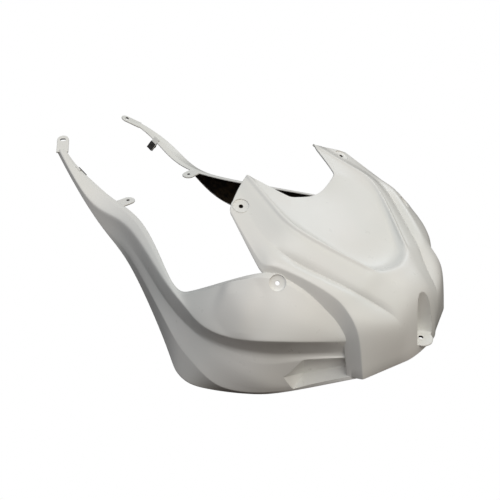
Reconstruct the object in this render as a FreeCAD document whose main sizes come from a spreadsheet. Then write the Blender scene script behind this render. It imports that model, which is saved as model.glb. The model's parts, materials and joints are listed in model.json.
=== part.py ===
import FreeCAD, Part
import os

# Tank cover of a sports motorcycle: hood, side panels and rear arms in one thin moulding,
# with two spring clip nuts on its arms. X runs forward to the nose, Y to the rider's left, Z up.
# The origin is the front screw hole, half way through the floor of the nose pocket.

V = FreeCAD.Vector
doc = FreeCAD.newDocument("tank_cover")
sheet = doc.addObject("Spreadsheet::Sheet", "Sizes")

SIZES = [
    ("cover_length", 690),
    ("cover_width", 414),
    ("cover_height", 252),
    ("wall", 3),
    ("lip_width", 9),
    ("lip_rise", 2.5),
    ("shoulder_crown", 3.5),
    ("scoop_length", 85),
    ("scoop_height", 58),
    ("scoop_depth", 55),
    ("front_hole_dia", 6),
    ("pocket_radius", 17),
    ("pocket_back", 11),
    ("pocket_front", 40),
    ("tongue_reach", 15),
    ("tongue_root", 4),
    ("wing_seat_ahead", 5),
    ("wing_seat_inward", 15),
    ("shoulder_seat_ahead", 22),
    ("shoulder_seat_inward", 10),
    ("seat_hole_dia", 5.5),
    ("seat_dia", 20),
    ("seat_depth", 1.4),
    ("seat_rim", 2.5),
    ("seat_clear", 30),
    ("tab_thick", 3),
    ("tab_root", 6),
    ("tab_drop", 0.5),
    ("tab_hole_dia", 5.5),
    ("mid_tab_from_tip", 161),
    ("mid_tab_reach", 15),
    ("mid_tab_width", 22),
    ("tip_tab_reach", 21),
    ("tip_tab_width", 20),
    ("tip_tab_swing", 40),
    ("tip_tab_rise", 26),
    ("tip_slot_length", 4),
    ("clip_from_tip", 50),
    ("clip_tab_reach", 17),
    ("clip_tab_width", 13),
    ("clip_tab_droop", 55),
    ("clip_hole_inset", 7),
    ("clip_hole_dia", 6),
    ("clip_length", 13),
    ("clip_side", 0.5),
    ("clip_end_gap", 0.3),
    ("clip_sheet", 1.2),
    ("clip_nut_dia", 9),
    ("clip_nut_height", 4),
    ("clip_thread_dia", 4.2),
]
for row, (name, value) in enumerate(SIZES, start=1):
    sheet.set(f"A{row}", name)
    sheet.set(f"B{row}", str(value))
    sheet.setAlias(f"B{row}", name)
doc.recompute()


def size(name):
    return float(sheet.get(name))


# The lines of the left half, drawn on a cover of this size. Each runs from the nose to the rear,
# and the skin is stretched between neighbouring lines.
DRAWN_LENGTH = 690
DRAWN_WIDTH = 414
DRAWN_HEIGHT = 252

MIDDLE = [
    (8, 0, -12), (-4, 0, 68), (-34, 0, 84), (-44, 0, 91), (-62, 0, 80), (-98, 0, 106),
    (-132, 0, 122), (-150, 0, 130), (-173, 0, 138),
]
RECESS = [
    (8, 15, -12), (-4, 14, 67), (-36, 17, 84), (-48, 18, 91), (-66, 31, 85), (-104, 53, 111),
    (-144, 73, 134), (-167, 61, 143), (-182, 46, 150),
]
CREST = [
    (5, 30, -14), (-3, 26, 58), (-40, 31, 82), (-52, 34, 91), (-72, 44, 102), (-108, 66, 121),
    (-150, 87, 142), (-185, 78, 152), (-240, 66, 170),
]
CREASE = [
    (-2, 45, -17), (-2, 38, 48), (-42, 60, 72), (-54, 69, 81), (-72, 78, 90), (-98, 92, 101),
    (-135, 112, 117), (-178, 112, 132), (-234, 86, 160),
]
LOBE = [
    (-10, 70, -17), (-12, 66, 50), (-46, 78, 74), (-58, 83, 83), (-73, 91, 92), (-99, 104, 104),
    (-132, 122, 116), (-166, 126, 122), (-227, 102, 154),
]
STEP_TOP = [
    (-18, 96, -17), (-30, 95, 50), (-52, 94, 70), (-62, 96, 79), (-75, 101, 88), (-102, 113, 101),
    (-136, 130, 113), (-158, 138, 112), (-219, 117, 147),
]
STEP_FOOT = [
    (-40, 98, -17), (-50, 98, 27), (-55, 99, 39), (-65, 102, 53), (-77, 107, 69), (-104, 118, 85),
    (-140, 137, 97), (-156, 148, 101), (-213, 124, 138),
]

SHOULDER_CORNER = (-146, 144, 104)
EDGE = [
    (-42, 89, 31), (-69, 97, 63), (-97, 109, 87), (-131, 127, 102), SHOULDER_CORNER,
    (-192, 163, 75), (-257, 170, 28), (-293, 162, 32), (-438, 87, 36), (-534, 78, 28),
    (-585, 78, 43), (-631, 83, 63), (-662, 76, 77),
]
SHOULDER = [
    (-42, 91, 27), (-70, 138, 37), (-89, 162, 42), (-112, 180, 40), (-148, 193, 31),
    (-189, 198, 27), (-232, 187, 31), (-298, 168, 27), (-452, 104, 25), (-514, 105, 20),
    (-562, 108, 25), (-613, 102, 62), (-667, 86, 79),
]
UNDERCUT = [
    (-43, 89, 4), (-86, 128, 5), (-103, 152, 8), (-123, 171, 11), (-161, 184, 5), (-200, 190, 4),
    (-243, 184, 4), (-307, 168, 7), (-457, 106, 11),
]
BLADE = [
    (-40, 91, 1), (-80, 130, 0), (-101, 154, -6), (-120, 175, -4), (-156, 186, -4),
    (-193, 190, -2), (-239, 184, -2), (-303, 169, 0), (-457, 109, 0),
]
CHANNEL = [
    (-30, 93, -17), (-78, 126, -42), (-100, 157, -42), (-118, 180, -28), (-157, 192, -20),
    (-196, 195, -19), (-242, 188, -14), (-303, 173, -12), (-458, 112, -10),
]
FIN = [
    (-28, 94, -20), (-78, 124, -48), (-101, 157, -49), (-124, 178, -54), (-164, 198, -58),
    (-192, 203, -42), (-240, 196, -34), (-293, 180, -18), (-452, 115, -18),
]
BOTTOM = [
    (-27, 94, -22), (-78, 123, -53), (-101, 156, -55), (-132, 169, -68), (-175, 188, -78),
    (-210, 207, -79), (-243, 203, -78), (-290, 182, -57), (-444, 118, -37), (-506, 111, -20),
    (-556, 111, 10), (-618, 103, 52), (-672, 87, 69),
]

# Scoop in the front of the lower side: its inner rear corner on the floor, two points on its top edge,
# two on the outer edge of its floor and one on its slanted rear edge.
SCOOP_CORNER = (-95, 110, -45)
SCOOP_TOP_REAR = (-82, 130, -3)
SCOOP_TOP_FRONT = (-49, 96, -2)
SCOOP_SILL_REAR = (-86, 134, -50)
SCOOP_SILL_FRONT = (-38, 100, -25)
SCOOP_END = (-91, 144, -34)

# Points where the lines bend tightly: on the hood at the top edge of the nose and the front edge
# of the panel, on the side at the corner where the arm leaves the shoulder.
HOOD_BENDS = {1: 0.25, 3: 0.2}
SIDE_BENDS = {6: 0.3}
PLAIN_WALL = (0.4, 0.55, 0.7, 0.85)
FULL_SHOULDER = 60
HOOD_NAMES = ("middle", "recess", "crest", "crease", "lobe", "step_top", "step_foot")
SIDE_NAMES = (
    "edge", "lip", "crown", "shoulder", "undercut", "blade", "channel", "fin", "bottom",
)
INWARD = V(-0.62, -0.78, -0.15)


def scaled(line):
    """A drawn line brought to the wanted length, width and height."""
    sx = size("cover_length") / DRAWN_LENGTH
    sy = size("cover_width") / DRAWN_WIDTH
    sz = size("cover_height") / DRAWN_HEIGHT
    return [V(x * sx, y * sy, z * sz) for x, y, z in line]


def hood_lines():
    """All hood lines across the full width, from the right step foot to the left one."""
    left = [scaled(line) for line in (MIDDLE, RECESS, CREST, CREASE, LOBE, STEP_TOP, STEP_FOOT)]
    right = [[V(p.x, -p.y, p.z) for p in line] for line in reversed(left[1:])]
    return right + left


def side_lines():
    """All lines of the left side. The lip and the crown are set out from the edge and the shoulder,
    and along the arm, where the outer wall is plain, its lines run evenly down to the bottom edge."""
    edge = scaled(EDGE)
    shoulder = scaled(SHOULDER)
    bottom = scaled(BOTTOM)
    lip = []
    crown = []
    for start, end in zip(edge, shoulder):
        across = end - start
        share = min(0.4, size("lip_width") / across.Length)
        fade = min(1, across.Length / FULL_SHOULDER)
        lip.append(start + across * share + V(0, 0.5, 0.85) * (size("lip_rise") * fade))
        crown.append(start + across * 0.6 + V(0.1, 0.75, 0.65) * (size("shoulder_crown") * fade))
    middles = []
    for line, share in zip((UNDERCUT, BLADE, CHANNEL, FIN), PLAIN_WALL):
        drawn = scaled(line)
        for top, foot in list(zip(shoulder, bottom))[len(drawn):]:
            drawn.append(top + (foot - top) * share)
        middles.append(drawn)
    return [edge, lip, crown, shoulder] + middles + [bottom]


def turned(rows):
    return [list(column) for column in zip(*rows)]


def bent(lines, bends):
    """Draws each bend point of the lines twice, a little to either side, so the bend is tight."""
    out = []
    for line in lines:
        points = []
        for i, p in enumerate(line):
            if i in bends:
                points.append(p + (line[i - 1] - p) * bends[i])
                points.append(p + (line[i + 1] - p) * bends[i])
            else:
                points.append(p)
        out.append(points)
    return out


def sunk(lines, depth):
    """The lines moved inward, square to the skin on both sides of them, by the depth."""
    out = []
    last = len(lines) - 1
    for j, line in enumerate(lines):
        points = []
        for i, p in enumerate(line):
            along = line[min(i + 1, len(line) - 1)] - line[max(i - 1, 0)]
            before = along.cross(p - lines[j - 1][i] if j else lines[1][i] - p)
            after = along.cross(lines[j + 1][i] - p if j < last else p - lines[j - 1][i])
            before.normalize()
            after.normalize()
            mitre = depth / max(0.6, 1 + before.dot(after))
            points.append(p + (before + after) * mitre)
        out.append(points)
    return out


def strip(lines):
    """Skin over neighbouring lines: cubic along them, straight or quadratic across."""
    def knots(count, degree):
        spans = count - degree
        marks = [k / spans for k in range(spans + 1)]
        return marks, [degree + 1] + [1] * (spans - 1) + [degree + 1]

    poles = turned(lines)
    degree = min(2, len(lines) - 1)
    along, along_times = knots(len(poles), 3)
    across, across_times = knots(len(lines), degree)
    skin = Part.BSplineSurface()
    skin.buildFromPolesMultsKnots(
        poles, along_times, across_times, along, across, False, False, 3, degree
    )
    return skin


def strips(lines, spans):
    return [strip(lines[first:last + 1]) for first, last in spans]


def ruled(one, other):
    return Part.makeRuledSurface(one.toShape(), other.toShape())


def slab(lines, spans):
    """Solid moulding between the drawn skin and the same skin sunk by the wall."""
    outer = strips(lines, spans)
    inner = strips(sunk(lines, size("wall")), spans)
    faces = [skin.toShape() for skin in outer + inner]
    for one, other in zip(outer, inner):
        faces.append(ruled(one.uIso(0), other.uIso(0)))
        faces.append(ruled(one.uIso(1), other.uIso(1)))
    faces.append(ruled(outer[0].vIso(0), inner[0].vIso(0)))
    faces.append(ruled(outer[-1].vIso(1), inner[-1].vIso(1)))
    shell = Part.makeShell(faces)
    shell.sewShape()
    solid = Part.makeSolid(shell)
    if solid.Volume < 0:
        solid.reverse()
    return solid


def feature(label, shape):
    obj = doc.addObject("Part::Feature", label)
    obj.Shape = shape
    return obj


def box(label, length, width, height, place, corner):
    """Box with its near lower corner at the given point of the place."""
    obj = doc.addObject("Part::Box", label)
    obj.setExpression("Length", length)
    obj.setExpression("Width", width)
    obj.setExpression("Height", height)
    obj.Placement = place.multiply(FreeCAD.Placement(corner, FreeCAD.Rotation()))
    return obj


def cylinder(label, radius, height, place, foot):
    """Cylinder standing along the place's Z axis on the given point."""
    obj = doc.addObject("Part::Cylinder", label)
    obj.setExpression("Radius", radius)
    obj.setExpression("Height", height)
    obj.Placement = place.multiply(FreeCAD.Placement(foot, FreeCAD.Rotation()))
    return obj


def fused(label, members):
    obj = doc.addObject("Part::MultiFuse", label)
    obj.Shapes = members
    return obj


def cut(label, base, tool):
    obj = doc.addObject("Part::Cut", label)
    obj.Base = base
    obj.Tool = tool
    return obj


def mirrored(label, source):
    """The same piece on the rider's right."""
    obj = doc.addObject("Part::Mirroring", label)
    obj.Source = source
    obj.Base = V(0, 0, 0)
    obj.Normal = V(0, 1, 0)
    return obj


def square_to(a, b, c):
    """Direction square to the plane through three points."""
    return (b - a).cross(c - a).normalize()


def corner_block(corner, first, second, third):
    """Slanting block that fills the three directions from its corner."""
    floor = [corner, corner + first, corner + first + third, corner + third, corner]
    return Part.Face(Part.makePolygon(floor)).extrude(second)


wall = size("wall")
here = FreeCAD.Placement()

# The hood and the left side, each a thin moulding between two skins.
hood_net = bent(hood_lines(), HOOD_BENDS)
middle = len(hood_net) // 2
recess = HOOD_NAMES.index("recess")
crest = HOOD_NAMES.index("crest")
hood_spans = [(j, j + 1) for j in range(middle - recess)]
hood_spans.append((middle - recess, middle + recess))
hood_spans += [(j, j + 1) for j in range(middle + recess, len(hood_net) - 1)]
side_net = bent(side_lines(), SIDE_BENDS)
side_spans = [(j, j + 1) for j in range(len(side_net) - 1)]
hood = feature("Hood", slab(hood_net, hood_spans))
side = feature("SideLeft", slab(side_net, side_spans))

# Scoop: three slanting walls that meet in a corner behind the panel, open outward.
corner, top_rear, top_front, sill_rear, sill_front, end = scaled([
    SCOOP_CORNER, SCOOP_TOP_REAR, SCOOP_TOP_FRONT, SCOOP_SILL_REAR, SCOOP_SILL_FRONT, SCOOP_END,
])
back_square = square_to(corner, top_rear, top_front)
floor_square = square_to(corner, sill_front, sill_rear)
end_square = square_to(corner, end, top_rear)
forward = back_square.cross(floor_square).normalize() * size("scoop_length")
upward = end_square.cross(back_square).normalize() * size("scoop_height")
outward = floor_square.cross(end_square).normalize() * size("scoop_depth")
scoop_void = feature("ScoopVoid", corner_block(corner, forward, upward, outward))
behind = (forward * (wall / forward.dot(end_square)) + upward * (wall / upward.dot(floor_square))
          + outward * (wall / outward.dot(back_square)))
scoop_block = feature("ScoopBlock", corner_block(corner - behind, forward, upward, outward))
panel_skin = strip(sunk(side_net, wall / 2)[SIDE_NAMES.index("blade"):])
under_panel = feature("UnderPanel", panel_skin.toShape().extrude(INWARD * size("scoop_length")))
scoop_walls = doc.addObject("Part::Common", "ScoopWalls")
scoop_walls.Base = scoop_block
scoop_walls.Tool = under_panel
open_side = cut("OpenSide", side, scoop_void)
scoop = cut("Scoop", scoop_walls, scoop_void)

# Nose pocket: an upright round-backed well, open to the front, with its own wall inside the hood.
well_x = size("pocket_radius") - size("pocket_back")
well_foot = V(well_x, 0, wall / 2)
void = fused("PocketVoid", [
    cylinder("PocketRound", "Sizes.pocket_radius", "Sizes.cover_height / 2", here, well_foot),
    box("PocketMouth", "Sizes.pocket_front", "2 * Sizes.pocket_radius", "Sizes.cover_height / 2", here,
        well_foot - V(0, size("pocket_radius"), 0)),
])
liner_foot = V(well_x, 0, -wall / 2)
liner_block = fused("LinerBlock", [
    cylinder("LinerRound", "Sizes.pocket_radius + Sizes.wall", "Sizes.cover_height / 2", here, liner_foot),
    box("LinerSides", "Sizes.pocket_front", "2 * (Sizes.pocket_radius + Sizes.wall)",
        "Sizes.cover_height / 2", here, liner_foot - V(0, size("pocket_radius") + wall, 0)),
])
mid_skin = strip(sunk(hood_net, wall / 2)[middle - crest:middle + crest + 1])
under_hood = feature("UnderHood", mid_skin.toShape().extrude(V(-1, 0, -1) * (size("cover_height") / 2)))
liner = doc.addObject("Part::Common", "PocketLiner")
liner.Base = liner_block
liner.Tool = under_hood
tongue = fused("Tongue", [
    cylinder("TongueRound", "Sizes.tongue_reach", "Sizes.wall", here, V(0, 0, -wall / 2)),
    box("TongueRoot", "Sizes.pocket_back + Sizes.tongue_root", "2 * Sizes.pocket_radius + Sizes.wall",
        "Sizes.wall", here, V(-size("pocket_back"), -size("pocket_radius") - wall / 2, -wall / 2)),
])
front_hole = cylinder("FrontHole", "Sizes.front_hole_dia / 2", "3 * Sizes.wall", here, V(0, 0, -1.5 * wall))


def seat_place(skins, x, y):
    """Place on the outside of the skin at (x, y), with its Z axis square to the skin."""
    reach = size("cover_height")
    upright = Part.makeLine(V(x, y, -reach), V(x, y, reach))
    hits = []
    for skin in skins:
        for vertex in skin.toShape().section(upright).Vertexes:
            hits.append((vertex.Point.z, skin, vertex.Point))
    height, skin, point = max(hits, key=lambda hit: hit[0])
    square = skin.normal(*skin.parameter(point))
    if square.z < 0:
        square = square * -1
    return FreeCAD.Placement(point, FreeCAD.Rotation(V(0, 0, 1), square))


def screw_seat(label, place):
    """Boss behind a dished screw seat, and the dish and hole that are cut there."""
    depth = size("seat_depth")
    boss_foot = V(0, 0, -depth - wall)
    boss = cylinder(label + "Boss", "Sizes.seat_dia / 2 + Sizes.seat_rim", "Sizes.wall", place, boss_foot)
    dish = cylinder(label + "Dish", "Sizes.seat_dia / 2", "Sizes.seat_clear", place, V(0, 0, -depth))
    hole = cylinder(label + "Hole", "Sizes.seat_hole_dia / 2", "2 * Sizes.seat_clear", place,
                    V(0, 0, -size("seat_clear")))
    return boss, dish, hole


hood_skins = strips(hood_net, hood_spans)
side_skins = strips(side_net, side_spans)
wing_corner = scaled(STEP_TOP)[-1]
wing_place = seat_place(
    hood_skins, wing_corner.x + size("wing_seat_ahead"), wing_corner.y - size("wing_seat_inward"),
)
shoulder_corner = scaled([SHOULDER_CORNER])[0]
shoulder_place = seat_place(
    side_skins, shoulder_corner.x + size("shoulder_seat_ahead"),
    shoulder_corner.y - size("shoulder_seat_inward"),
)
wing_boss, wing_dish, wing_hole = screw_seat("Wing", wing_place)
shoulder_boss, shoulder_dish, shoulder_hole = screw_seat("Shoulder", shoulder_place)

# Screw tabs on the inner edge of the arm and at its tip.
arm_edge = side_skins[0].vIso(0)


def edge_place(from_tip, droop):
    """Place on the arm's inner edge: X to the rear along it, Y inward and down by the droop, Z up."""
    at = arm_edge.parameterAtDistance(arm_edge.length() - from_tip, arm_edge.FirstParameter)
    rearward = arm_edge.tangent(at)[0]
    inward = V(0, 0, 1).cross(rearward)
    upward = rearward.cross(inward)
    turn = FreeCAD.Rotation(rearward, inward, upward, "XYZ")
    return FreeCAD.Placement(arm_edge.value(at), turn.multiply(FreeCAD.Rotation(V(1, 0, 0), -droop)))


tab_foot = -size("tab_drop") - size("tab_thick")
mid_place = edge_place(size("mid_tab_from_tip"), 0)
mid_hole_at = V(0, size("mid_tab_reach"), tab_foot)
mid_plate = box("MidTabPlate", "Sizes.mid_tab_width", "Sizes.tab_root + Sizes.mid_tab_reach",
                "Sizes.tab_thick", mid_place, V(-size("mid_tab_width") / 2, -size("tab_root"), tab_foot))
mid_round = cylinder("MidTabRound", "Sizes.mid_tab_width / 2", "Sizes.tab_thick", mid_place, mid_hole_at)
mid_hole = cylinder("MidTabHole", "Sizes.tab_hole_dia / 2", "3 * Sizes.tab_thick", mid_place,
                    mid_hole_at - V(0, 0, size("tab_thick")))

tip = (side_net[0][-1] + side_net[3][-1]) * 0.5
tip_turn = FreeCAD.Rotation(180 + size("tip_tab_swing"), -size("tip_tab_rise"), 0)
tip_place = FreeCAD.Placement(tip, tip_turn)
tip_hole_at = V(size("tip_tab_reach"), 0, tab_foot)
tip_plate = box("TipTabPlate", "Sizes.tab_root + Sizes.tip_tab_reach", "Sizes.tip_tab_width",
                "Sizes.tab_thick", tip_place, V(-size("tab_root"), -size("tip_tab_width") / 2, tab_foot))
tip_round = cylinder("TipTabRound", "Sizes.tip_tab_width / 2", "Sizes.tab_thick", tip_place, tip_hole_at)
slot_half = V(0, size("tip_slot_length") / 2, 0)
slot_foot = tip_hole_at - V(0, 0, size("tab_thick"))
tip_slot = [
    cylinder("TipSlotInner", "Sizes.tab_hole_dia / 2", "3 * Sizes.tab_thick", tip_place,
             slot_foot - slot_half),
    cylinder("TipSlotOuter", "Sizes.tab_hole_dia / 2", "3 * Sizes.tab_thick", tip_place,
             slot_foot + slot_half),
    box("TipSlotMiddle", "Sizes.tab_hole_dia", "Sizes.tip_slot_length", "3 * Sizes.tab_thick", tip_place,
        slot_foot - slot_half - V(size("tab_hole_dia") / 2, 0, 0)),
]

# Hanging tab for the clip nut.
clip_place = edge_place(size("clip_from_tip"), size("clip_tab_droop"))
clip_hole_at = V(0, size("clip_tab_reach") - size("clip_hole_inset"), 0)
clip_plate = box("ClipTabPlate", "Sizes.clip_tab_width", "Sizes.tab_root + Sizes.clip_tab_reach",
                 "Sizes.tab_thick", clip_place, V(-size("clip_tab_width") / 2, -size("tab_root"), tab_foot))
clip_hole = cylinder("ClipTabHole", "Sizes.clip_hole_dia / 2", "3 * Sizes.tab_thick", clip_place,
                     clip_hole_at + V(0, 0, tab_foot - size("tab_thick")))

# The cover: all walls joined, then every hole and recess cut.
left_walls = fused("LeftWalls", [
    open_side, scoop, wing_boss, shoulder_boss, mid_plate, mid_round, tip_plate, tip_round, clip_plate,
])
left_cuts = fused("LeftCuts", [
    wing_dish, wing_hole, shoulder_dish, shoulder_hole, mid_hole, *tip_slot, clip_hole,
])
walls = fused("Walls", [hood, liner, tongue, left_walls, mirrored("RightWalls", left_walls)])
cuts = fused("Cuts", [void, front_hole, left_cuts, mirrored("RightCuts", left_cuts)])
cover = cut("tank_cover", walls, cuts)

# Clip nut: a bent spring sheet that grips the hanging tab, with a threaded barrel under it.
sheet_thick = size("clip_sheet")
clip_start = size("clip_tab_reach") - size("clip_length")
clip_half = size("clip_tab_width") / 2 - size("clip_side")
clip_outside = box("ClipOutside", "Sizes.clip_tab_width - 2 * Sizes.clip_side",
                   "Sizes.clip_length + Sizes.clip_end_gap + Sizes.clip_sheet",
                   "Sizes.tab_thick + 2 * Sizes.clip_sheet", clip_place,
                   V(-clip_half, clip_start, tab_foot - sheet_thick))
clip_inside = box("ClipInside", "Sizes.clip_tab_width", "Sizes.clip_length + Sizes.clip_end_gap",
                  "Sizes.tab_thick", clip_place, V(-size("clip_tab_width") / 2, clip_start, tab_foot))
clip_bend = cut("ClipBend", clip_outside, clip_inside)
barrel_foot = tab_foot - sheet_thick - size("clip_nut_height")
barrel = cylinder("ClipBarrel", "Sizes.clip_nut_dia / 2", "Sizes.clip_nut_height", clip_place,
                  clip_hole_at + V(0, 0, barrel_foot))
thread = cylinder("ClipThread", "Sizes.clip_thread_dia / 2",
                  "Sizes.clip_nut_height + 3 * Sizes.clip_sheet + 2 * Sizes.tab_thick", clip_place,
                  clip_hole_at + V(0, 0, barrel_foot - sheet_thick))
clip = cut("ClipLeft", fused("ClipBody", [clip_bend, barrel]), thread)
clips = doc.addObject("Part::Compound", "clip_nut")
clips.Links = [clip, mirrored("ClipRight", clip)]
doc.recompute()

for obj in doc.Objects:
    if "Invalid" in obj.State or "Error" in obj.State:
        raise RuntimeError(f"{obj.Label} did not build")
    if obj is not sheet and (obj.Shape.isNull() or not obj.Shape.isValid()):
        raise RuntimeError(f"{obj.Label} has no sound shape")

os.makedirs("parts", exist_ok=True)
for obj in (cover, clips):
    obj.Shape.exportStep(f"parts/{obj.Label}.step")
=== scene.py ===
import json
import math

import bpy
import numpy as np
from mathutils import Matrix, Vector


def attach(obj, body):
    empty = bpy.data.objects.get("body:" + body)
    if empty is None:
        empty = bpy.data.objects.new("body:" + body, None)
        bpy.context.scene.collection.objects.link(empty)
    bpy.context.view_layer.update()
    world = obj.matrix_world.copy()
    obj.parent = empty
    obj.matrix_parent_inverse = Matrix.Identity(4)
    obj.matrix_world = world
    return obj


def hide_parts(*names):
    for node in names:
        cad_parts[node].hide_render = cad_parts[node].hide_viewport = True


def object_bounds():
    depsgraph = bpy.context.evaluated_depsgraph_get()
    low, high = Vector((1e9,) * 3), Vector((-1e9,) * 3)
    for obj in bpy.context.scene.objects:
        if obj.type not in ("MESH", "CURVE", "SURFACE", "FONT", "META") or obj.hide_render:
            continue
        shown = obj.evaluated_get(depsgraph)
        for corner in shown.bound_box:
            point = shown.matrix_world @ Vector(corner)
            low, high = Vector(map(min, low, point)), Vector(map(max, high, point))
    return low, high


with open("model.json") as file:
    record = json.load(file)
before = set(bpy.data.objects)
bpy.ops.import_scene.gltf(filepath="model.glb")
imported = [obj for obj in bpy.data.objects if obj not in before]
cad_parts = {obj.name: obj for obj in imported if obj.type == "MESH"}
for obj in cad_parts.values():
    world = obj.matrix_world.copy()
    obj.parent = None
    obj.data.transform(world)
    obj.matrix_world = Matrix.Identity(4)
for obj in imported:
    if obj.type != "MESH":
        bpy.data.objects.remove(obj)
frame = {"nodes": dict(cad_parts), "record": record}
cad_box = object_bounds()

# All shapes are worked out in millimetres in the part's own frame: X forward to the nose,
# Y to the rider's left, Z up, and the origin at the front screw hole.
MM = 0.001
WALL = 3.0
OUTSIDE, INSIDE = 0, 1
MOUNTS = {
    m["name"]: (np.array(m["pos_m"]) / MM, np.array(m["axis"])) for m in frame["record"]["mounts"]
}

# Lines of the left half of the hood, each from the nose to the rear.
MIDDLE = [
    (8, 0, -12), (-4, 0, 68), (-34, 0, 84), (-44, 0, 91), (-62, 0, 80), (-98, 0, 106),
    (-132, 0, 122), (-150, 0, 130), (-173, 0, 138),
]
RECESS = [
    (8, 15, -12), (-4, 14, 67), (-36, 17, 84), (-48, 18, 91), (-66, 31, 85), (-104, 53, 111),
    (-144, 73, 134), (-167, 61, 143), (-182, 46, 150),
]
CREST = [
    (5, 30, -14), (-3, 26, 58), (-40, 31, 82), (-52, 34, 91), (-72, 44, 102), (-108, 66, 121),
    (-150, 87, 142), (-185, 78, 152), (-240, 66, 170),
]
CREASE = [
    (-2, 45, -17), (-2, 38, 48), (-42, 60, 72), (-54, 69, 81), (-72, 78, 90), (-98, 92, 101),
    (-135, 112, 117), (-178, 112, 132), (-234, 86, 160),
]
LOBE = [
    (-10, 70, -17), (-12, 66, 50), (-46, 78, 74), (-58, 83, 83), (-73, 91, 92), (-99, 104, 104),
    (-132, 122, 116), (-166, 126, 122), (-227, 102, 154),
]
STEP_TOP = [
    (-18, 96, -17), (-30, 95, 50), (-52, 94, 70), (-62, 96, 79), (-75, 101, 88), (-102, 113, 101),
    (-136, 130, 112), (-146, 137, 107), (-219, 117, 147),
]
STEP_FOOT = [
    (-40, 98, -25), (-50, 98, 27), (-55, 99, 39), (-65, 102, 53), (-77, 107, 69), (-104, 118, 85),
    (-140, 137, 97), (-146, 141, 101), (-216, 119, 143),
]
HOOD_LINES = (MIDDLE, RECESS, CREST, CREASE, LOBE, STEP_TOP, STEP_FOOT)
HOOD_SOFTNESS = (0, 5, 2.2, 1.4, 0, 1.6, 0)
HOOD_BENDS = {1: 0.25, 3: 0.2, 7: 0.15}

# Lines of the left side, each from the nose to the arm tip.
EDGE = [
    (-42, 89, 31), (-69, 97, 63), (-97, 109, 87), (-131, 127, 102), (-146, 144, 104),
    (-192, 163, 75), (-257, 170, 28), (-293, 162, 32), (-438, 87, 36), (-534, 78, 28),
    (-585, 78, 43), (-631, 83, 63), (-662, 76, 77),
]
SHOULDER = [
    (-42, 91, 27), (-70, 138, 37), (-89, 162, 42), (-112, 180, 40), (-148, 193, 31),
    (-189, 198, 27), (-232, 187, 31), (-298, 168, 27), (-452, 104, 25), (-514, 105, 20),
    (-562, 108, 25), (-613, 102, 62), (-667, 86, 79),
]
UNDERCUT = [
    (-43, 89, 4), (-86, 128, 5), (-103, 152, 8), (-123, 171, 11), (-161, 184, 5), (-200, 190, 4),
    (-243, 184, 4), (-307, 168, 7), (-457, 106, 11),
]
BLADE = [
    (-40, 91, 1), (-80, 130, 0), (-101, 154, -6), (-120, 175, -4), (-156, 186, -4),
    (-193, 190, -2), (-239, 184, -2), (-303, 169, 0), (-457, 109, 0),
]
CHANNEL = [
    (-30, 93, -17), (-78, 126, -42), (-100, 157, -42), (-118, 180, -28), (-157, 192, -20),
    (-196, 195, -19), (-242, 188, -14), (-303, 173, -12), (-458, 112, -10),
]
FIN = [
    (-28, 94, -20), (-78, 124, -48), (-101, 157, -49), (-124, 178, -54), (-164, 198, -58),
    (-192, 203, -42), (-240, 196, -34), (-293, 180, -18), (-452, 115, -18),
]
BOTTOM = [
    (-27, 94, -22), (-78, 123, -53), (-101, 156, -55), (-132, 169, -68), (-175, 188, -78),
    (-210, 207, -79), (-243, 203, -78), (-290, 182, -57), (-444, 118, -37), (-506, 111, -20),
    (-556, 111, 10), (-618, 103, 52), (-672, 87, 69),
]
PLAIN_WALL = (0.4, 0.55, 0.7, 0.85)
LIP_WIDTH = 9.0
LIP_SHARE = 0.4
LIP_RISE = 5.0
LIP_WAY = np.array([0, 0.5, 0.85])
CROWN_SHARE = 0.6
CROWN_WAY = np.array([0.1, 0.75, 0.65])
SHOULDER_CROWN = (4, 6, 7, 7, 6.5, 4.5, 3.5, 3.5, 3.5, 3.5, 3.5, 3.5, 3.5)
FULL_SHOULDER = 60.0
BLADE_LINE = 5
SIDE_SOFTNESS = (0, 0.8, 0, 2.2, 4, 1.6, 0, 1.2, 0)
SIDE_BENDS = {6: 0.15}

# Points of the sheets close to their rims, in millimetres, and beside their folds, in spans.
RIM_STEPS = np.array([0.12, 0.45, 0.95, 1.6])
RIM_CLEAR = 1.3
FOLD_STEPS = np.linspace(-0.9, 0.9, 11)
FOLD_LIMIT = 0.4
GROOVE_ROUND = 0.8


def spline_weights(count, degree, at):
    """Weights of a clamped, evenly knotted B-spline's control points at the given shares of its run:
    the usual two-term recursion, from steps of degree 0 up to the wanted degree."""
    spans = count - degree
    knots = np.concatenate([np.zeros(degree), np.linspace(0, 1, spans + 1), np.ones(degree)])
    at = np.clip(at, 0, 1 - 1e-12)[:, None]
    weights = ((at >= knots[:-1]) & (at < knots[1:])).astype(float)
    for d in range(1, degree + 1):
        n = len(knots) - 1 - d
        rise = knots[d:d + n] - knots[:n]
        fall = knots[d + 1:d + 1 + n] - knots[1:1 + n]
        up = np.divide(at - knots[:n], rise, out=np.zeros((len(at), n)), where=rise > 0)
        down = np.divide(knots[d + 1:d + 1 + n] - at, fall, out=np.zeros((len(at), n)), where=fall > 0)
        weights = up * weights[:, :n] + down * weights[:, 1:n + 1]
    return weights


def skin(net, along, across):
    """Smooth sheet over a net of control points: a cubic B-spline down its rows times a quadratic
    one over its columns, at every pair of the shares along and across."""
    rows = spline_weights(net.shape[0], 3, along)
    columns = spline_weights(net.shape[1], 2, across)
    return np.einsum("ui,vj,ijk->uvk", rows, columns, net)


def bent(net, bends):
    """Each bend row is drawn twice, moved by its share towards the row before and the row after."""
    rows = []
    for i in range(len(net)):
        if i in bends:
            rows.append(net[i] + (net[i - 1] - net[i]) * bends[i])
            rows.append(net[i] + (net[i + 1] - net[i]) * bends[i])
        else:
            rows.append(net[i])
    return np.stack(rows)


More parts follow.
